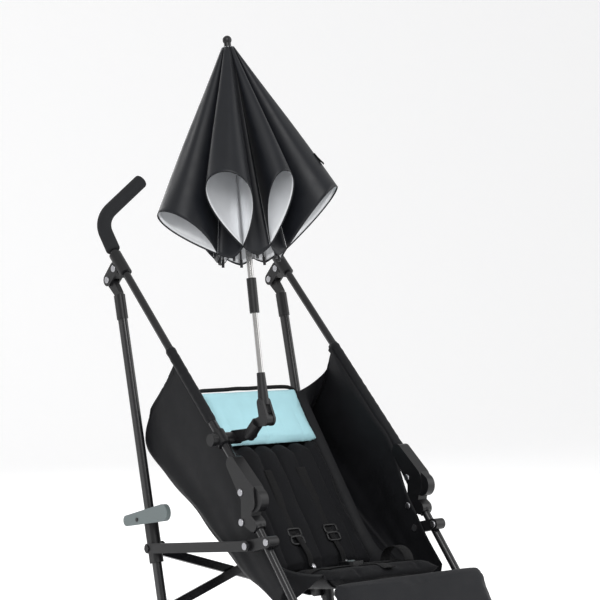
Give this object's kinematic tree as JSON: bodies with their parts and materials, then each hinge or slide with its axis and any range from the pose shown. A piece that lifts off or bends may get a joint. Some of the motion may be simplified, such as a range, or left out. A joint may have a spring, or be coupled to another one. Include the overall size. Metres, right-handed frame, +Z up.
{
  "type": "baby stroller",
  "caption": "Umbrella-fold baby stroller with padded reclining seat, side fabric, harness, leg rest, swivel front wheels and a clip-on parasol.",
  "frame": {"origin": "on the floor, midway between the two pairs of rear wheels", "axes": "-Y is the way it rolls, +Z is up, +X is to the right seen from in front"},
  "size_m": [0.6115, 0.826, 1.3321],
  "materials": {
    "tube": "satin black powder coat",
    "black_plastic": "fine moulded texture",
    "grip_foam": "closed-cell foam",
    "rivet": "domed rivets",
    "grey_plastic": "grey moulded plastic",
    "rim": "moulded rim",
    "tyre": "foam-filled tyre",
    "seat_fabric": "padded woven polyester",
    "wing_fabric": "smooth coated polyester",
    "head_fabric": "light aqua padded polyester",
    "webbing": "ribbed nylon webbing",
    "canopy": "coated taffeta, silver inside",
    "pole_chrome": "polished steel tube",
    "rib_steel": "dark plated wire",
    "axle_steel": "zinc plated"
  },
  "bodies": {
    "seat": {"seat_pad": "seat_fabric", "left_wing": "wing_fabric", "right_wing": "wing_fabric", "lap_straps": "webbing", "buckle": "black_plastic", "footrest_strap": "webbing"},
    "backrest": {"backrest_pad": "seat_fabric", "head_pad": "head_fabric", "shoulder_straps": "webbing"},
    "leg_rest": {"leg_rest": "wing_fabric"},
    "buckle_button": {"buckle_button": "grey_plastic"},
    "brace_a": {"brace_bar_a": "tube"},
    "brace_b": {"brace_bar_b": "tube"},
    "fold_lever": {"fold_lever": "grey_plastic"},
    "parasol_base": {"parasol_plug": "black_plastic"},
    "parasol": {"parasol_foot": "black_plastic", "parasol_pole": "pole_chrome", "parasol_sleeve": "black_plastic", "parasol_frame": "rib_steel", "parasol_canopy": "canopy", "parasol_finial": "black_plastic"},
    "left_frame": {"left_upper_tube": "tube", "left_grip": "grip_foam", "left_handle_bracket": "black_plastic", "left_frame_joint": "black_plastic", "left_lower_tube": "tube", "left_strut_clip": "black_plastic", "left_caster_housing": "black_plastic", "left_frame_rivets": "rivet", "parasol_socket": "black_plastic"},
    "left_caster": {"left_caster_fork": "black_plastic"},
    "left_front_wheels": {"left_front_rims": "rim", "left_front_tyres": "tyre"},
    "left_leg": {"left_rear_leg": "tube", "left_leg_fittings": "black_plastic", "left_leg_pins": "axle_steel"},
    "left_rear_wheels": {"left_rear_rims": "rim", "left_rear_tyres": "tyre"},
    "left_brake": {"left_brake_pedal": "grey_plastic"},
    "left_collar": {"left_collar": "black_plastic"},
    "left_strut": {"left_strut": "black_plastic"},
    "right_frame": {"right_upper_tube": "tube", "right_grip": "grip_foam", "right_handle_bracket": "black_plastic", "right_frame_joint": "black_plastic", "right_lower_tube": "tube", "right_strut_clip": "black_plastic", "right_caster_housing": "black_plastic", "right_frame_rivets": "rivet"},
    "right_caster": {"right_caster_fork": "black_plastic"},
    "right_front_wheels": {"right_front_rims": "rim", "right_front_tyres": "tyre"},
    "right_leg": {"right_rear_leg": "tube", "right_leg_fittings": "black_plastic", "right_leg_pins": "axle_steel"},
    "right_rear_wheels": {"right_rear_rims": "rim", "right_rear_tyres": "tyre"},
    "right_brake": {"right_brake_pedal": "grey_plastic"},
    "right_collar": {"right_collar": "black_plastic"},
    "right_strut": {"right_strut": "black_plastic"}
  },
  "joints": [
    {"name": "frame_fold", "type": "slide", "parent": "seat", "child": "left_frame", "axis": [0.7926, 0.4274, -0.4349], "range_m": [0, 0.08201], "deforming": ["left_wing", "right_wing", "leg_rest", "footrest_strap"]},
    {"name": "right_frame_fold", "type": "slide", "parent": "seat", "child": "right_frame", "axis": [-0.7926, 0.4274, -0.4349], "range_m": [0, 0.08205]},
    {"name": "left_leg_fold", "type": "hinge", "parent": "left_frame", "child": "left_leg", "pos_m": [-0.215, 0.192, 0.85], "axis": [-1, 0, 0], "range_deg": [0, 21.11]},
    {"name": "left_collar_slide", "type": "slide", "parent": "left_leg", "child": "left_collar", "axis": [0, 0.2402, 0.9707], "range_m": [0, 0.19147]},
    {"name": "left_strut_pivot", "type": "hinge", "parent": "left_frame", "child": "left_strut", "pos_m": [-0.215, -0.286, 0.347], "axis": [1, 0, 0], "range_deg": [0, 47.12]},
    {"name": "right_leg_fold", "type": "hinge", "parent": "right_frame", "child": "right_leg", "pos_m": [0.215, 0.192, 0.85], "axis": [-1, 0, 0], "range_deg": [0, 21.11]},
    {"name": "right_collar_slide", "type": "slide", "parent": "right_leg", "child": "right_collar", "axis": [0, 0.2402, 0.9707], "range_m": [0, 0.19147]},
    {"name": "right_strut_pivot", "type": "hinge", "parent": "right_frame", "child": "right_strut", "pos_m": [0.215, -0.286, 0.347], "axis": [1, 0, 0], "range_deg": [0, 47.12]},
    {"name": "brace_a_pivot", "type": "hinge", "parent": "left_leg", "child": "brace_a", "pos_m": [-0.195, 0.02534, 0.1824], "axis": [0, -0.9707, 0.2402], "range_deg": [0, 32.83]},
    {"name": "brace_b_pivot", "type": "hinge", "parent": "left_collar", "child": "brace_b", "pos_m": [-0.195, 0.06413, 0.30166], "axis": [0, 0.9707, -0.2402], "range_deg": [0, 32.83]},
    {"name": "backrest_recline", "type": "hinge", "parent": "seat", "child": "backrest", "pos_m": [0, -0.22738, 0.26483], "axis": [-1, 0, 0], "range_deg": [-20, 0]},
    {"name": "leg_rest_lift", "type": "hinge", "parent": "seat", "child": "leg_rest", "pos_m": [0, -0.47039, 0.28268], "axis": [-1, 0, 0], "range_deg": [-15, 50]},
    {"name": "buckle_press", "type": "slide", "parent": "seat", "child": "buckle_button", "axis": [0, -0.1271, -0.9919], "range_m": [0, 0.0025], "stiffness_N_per_m": 400},
    {"name": "fold_lever_pivot", "type": "hinge", "parent": "left_collar", "child": "fold_lever", "pos_m": [-0.215, 0.05136, 0.36663], "axis": [1, 0, 0], "range_deg": [0, 20]},
    {"name": "left_caster_swivel", "type": "hinge", "parent": "left_frame", "child": "left_caster", "pos_m": [-0.215, -0.52, 0.146], "axis": [0, 0, 1], "continuous": true},
    {"name": "left_front_wheel_spin", "type": "hinge", "parent": "left_caster", "child": "left_front_wheels", "pos_m": [-0.215, -0.495, 0.07], "axis": [1, 0, 0], "continuous": true},
    {"name": "left_rear_wheel_spin", "type": "hinge", "parent": "left_leg", "child": "left_rear_wheels", "pos_m": [-0.215, 0, 0.075], "axis": [1, 0, 0], "continuous": true},
    {"name": "left_brake_press", "type": "hinge", "parent": "left_leg", "child": "left_brake", "pos_m": [-0.215, 0.024, 0.116], "axis": [-1, 0, 0], "range_deg": [0, 12]},
    {"name": "right_caster_swivel", "type": "hinge", "parent": "right_frame", "child": "right_caster", "pos_m": [0.215, -0.52, 0.146], "axis": [0, 0, 1], "continuous": true},
    {"name": "right_front_wheel_spin", "type": "hinge", "parent": "right_caster", "child": "right_front_wheels", "pos_m": [0.215, -0.495, 0.07], "axis": [1, 0, 0], "continuous": true},
    {"name": "right_rear_wheel_spin", "type": "hinge", "parent": "right_leg", "child": "right_rear_wheels", "pos_m": [0.215, 0, 0.075], "axis": [1, 0, 0], "continuous": true},
    {"name": "right_brake_press", "type": "hinge", "parent": "right_leg", "child": "right_brake", "pos_m": [0.215, 0.024, 0.116], "axis": [-1, 0, 0], "range_deg": [0, 12]},
    {"name": "parasol_lift", "type": "slide", "parent": "left_frame", "child": "parasol_base", "axis": [0, -0.7009, 0.7133], "range_m": [0, 0.06]},
    {"name": "parasol_tilt", "type": "hinge", "parent": "parasol_base", "child": "parasol", "pos_m": [-0.18, -0.286, 0.586], "axis": [1, 0, 0], "range_deg": [-12, 25]}
  ],
  "couplings": [
    {"joint": "right_frame_fold", "follows": "frame_fold", "ratio": 1},
    {"joint": "left_leg_fold", "follows": "frame_fold", "rad_per_m": 4.4907},
    {"joint": "left_collar_slide", "follows": "frame_fold", "ratio": 2.3336},
    {"joint": "left_strut_pivot", "follows": "frame_fold", "rad_per_m": 10.024},
    {"joint": "right_leg_fold", "follows": "frame_fold", "rad_per_m": 4.4907},
    {"joint": "right_collar_slide", "follows": "frame_fold", "ratio": 2.3336},
    {"joint": "right_strut_pivot", "follows": "frame_fold", "rad_per_m": 10.024},
    {"joint": "brace_a_pivot", "follows": "frame_fold", "rad_per_m": 6.9831},
    {"joint": "brace_b_pivot", "follows": "frame_fold", "rad_per_m": 6.9831}
  ]
}
